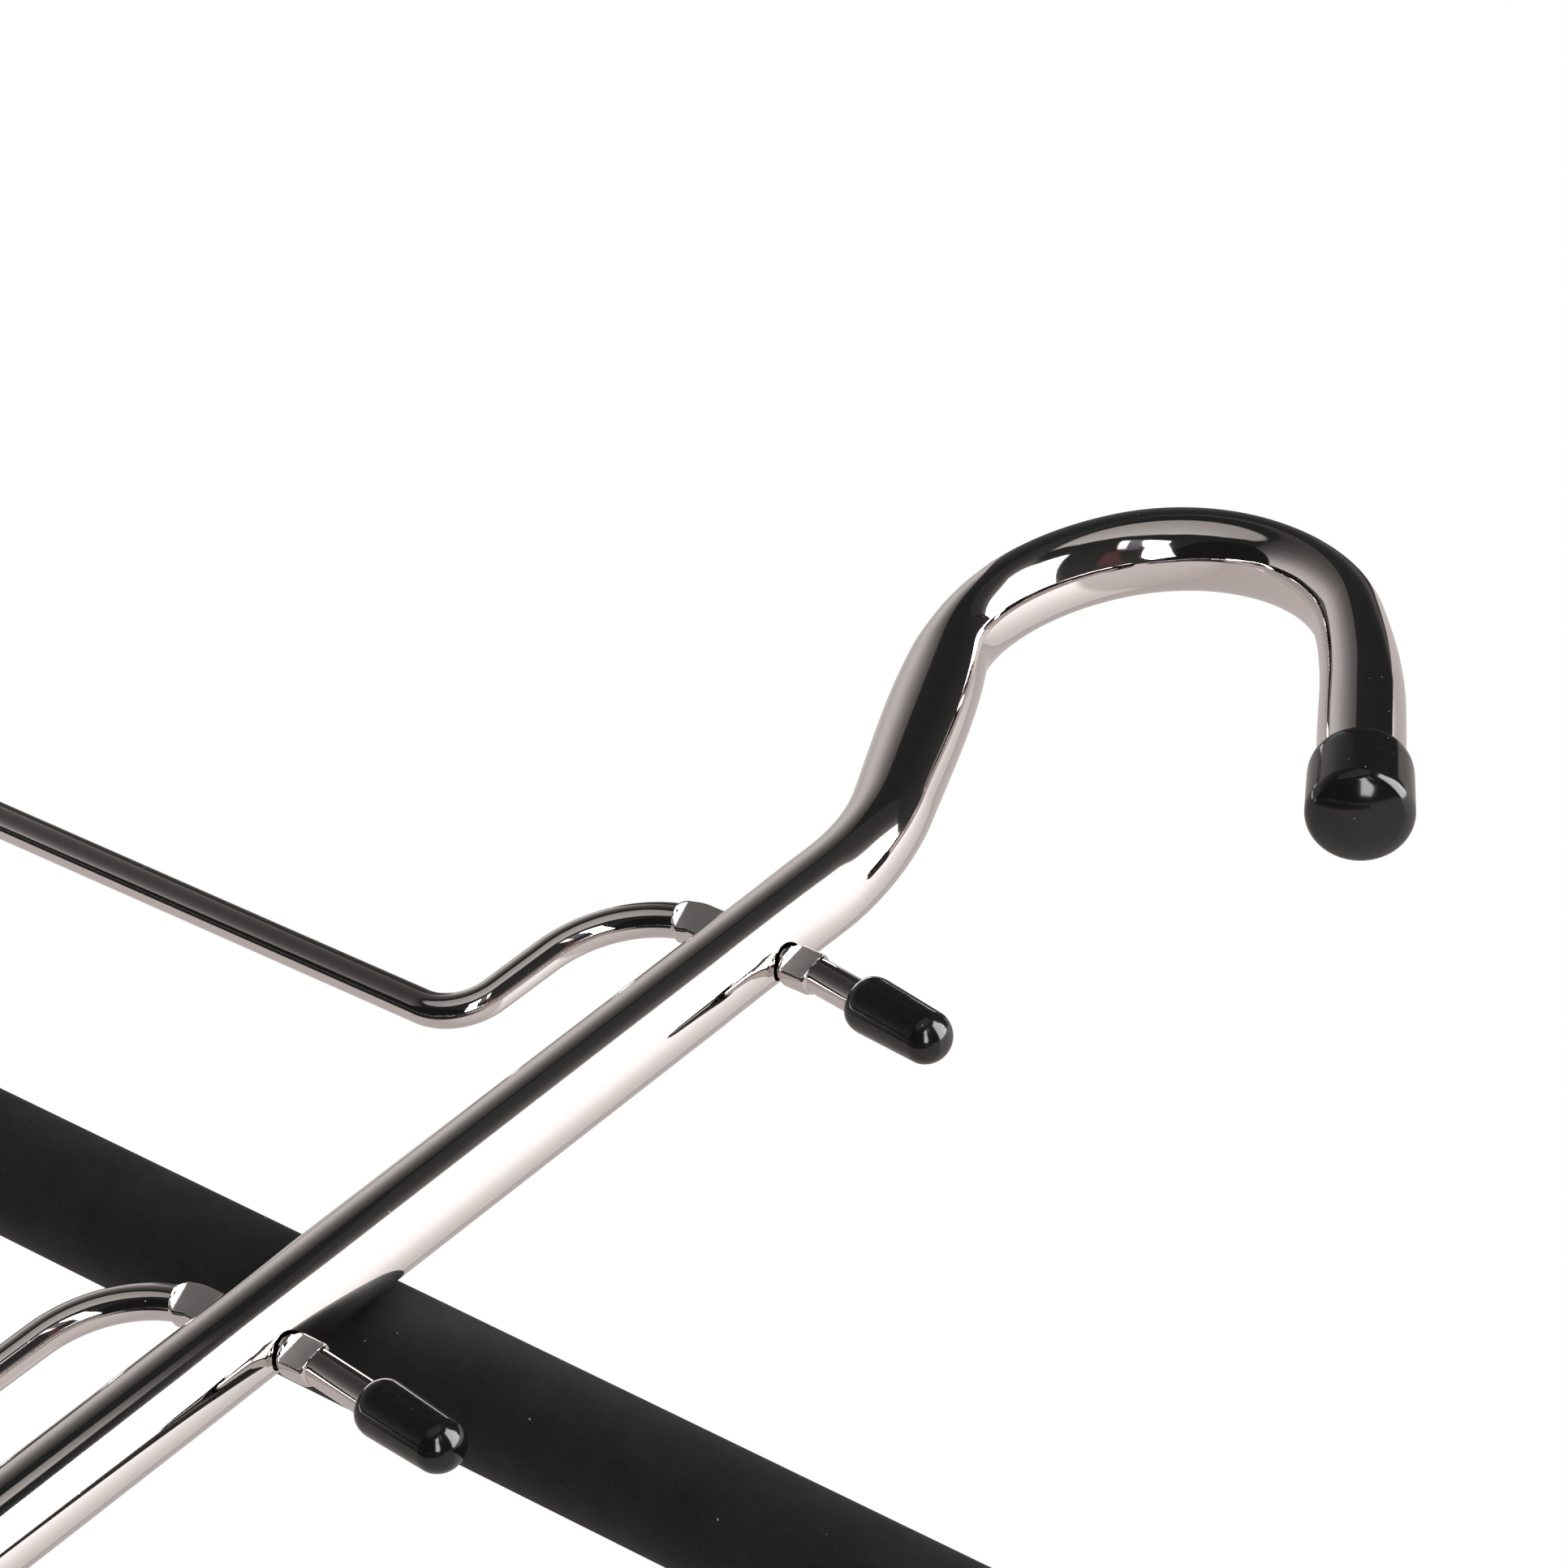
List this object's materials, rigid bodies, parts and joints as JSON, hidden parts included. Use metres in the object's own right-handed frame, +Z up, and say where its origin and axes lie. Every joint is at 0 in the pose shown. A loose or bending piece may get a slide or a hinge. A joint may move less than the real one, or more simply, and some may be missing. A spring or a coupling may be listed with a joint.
{
  "type": "multi tier trouser hanger",
  "caption": "Chromed tube hanger with a rail hook and swinging wire arms, each carrying a foam-covered trouser bar that is open at one end.",
  "frame": {"origin": "highest point of the hook's inside, where it sits on a rail", "axes": "+Z up along the spine, +X towards the open ends of the bars, -Y towards the viewer, with the bars behind the spine"},
  "size_m": [0.356, 0.0261, 0.4236],
  "materials": {
    "chrome": "bright chrome plating on steel",
    "vinyl": "glossy black dipped vinyl",
    "foam": "matt black fine-cell foam rubber"
  },
  "bodies": {
    "frame": {"hook_spine": "chrome", "hook_cap": "vinyl", "tail_cap": "vinyl"},
    "arm_1": {"arm_wire_1": "chrome", "foam_sleeve_1": "foam", "stub_cap_1": "vinyl", "bar_end_cap_1": "vinyl"},
    "arm_2": {"arm_wire_2": "chrome", "foam_sleeve_2": "foam", "stub_cap_2": "vinyl", "bar_end_cap_2": "vinyl"},
    "arm_3": {"arm_wire_3": "chrome", "foam_sleeve_3": "foam", "stub_cap_3": "vinyl", "bar_end_cap_3": "vinyl"},
    "arm_4": {"arm_wire_4": "chrome", "foam_sleeve_4": "foam", "stub_cap_4": "vinyl", "bar_end_cap_4": "vinyl"}
  },
  "joints": [
    {"name": "arm_1_swing", "type": "hinge", "parent": "frame", "child": "arm_1", "pos_m": [-0.00336, 0.00045, -0.08777], "axis": [1, 0, 0], "range_deg": [0, 157]},
    {"name": "arm_2_swing", "type": "hinge", "parent": "frame", "child": "arm_2", "pos_m": [-0.00336, 0.00045, -0.16837], "axis": [1, 0, 0], "range_deg": [0, 101]},
    {"name": "arm_3_swing", "type": "hinge", "parent": "frame", "child": "arm_3", "pos_m": [-0.00336, 0.00045, -0.24897], "axis": [1, 0, 0], "range_deg": [0, 101]},
    {"name": "arm_4_swing", "type": "hinge", "parent": "frame", "child": "arm_4", "pos_m": [-0.00336, 0.00045, -0.32957], "axis": [1, 0, 0], "range_deg": [0, 101]}
  ]
}
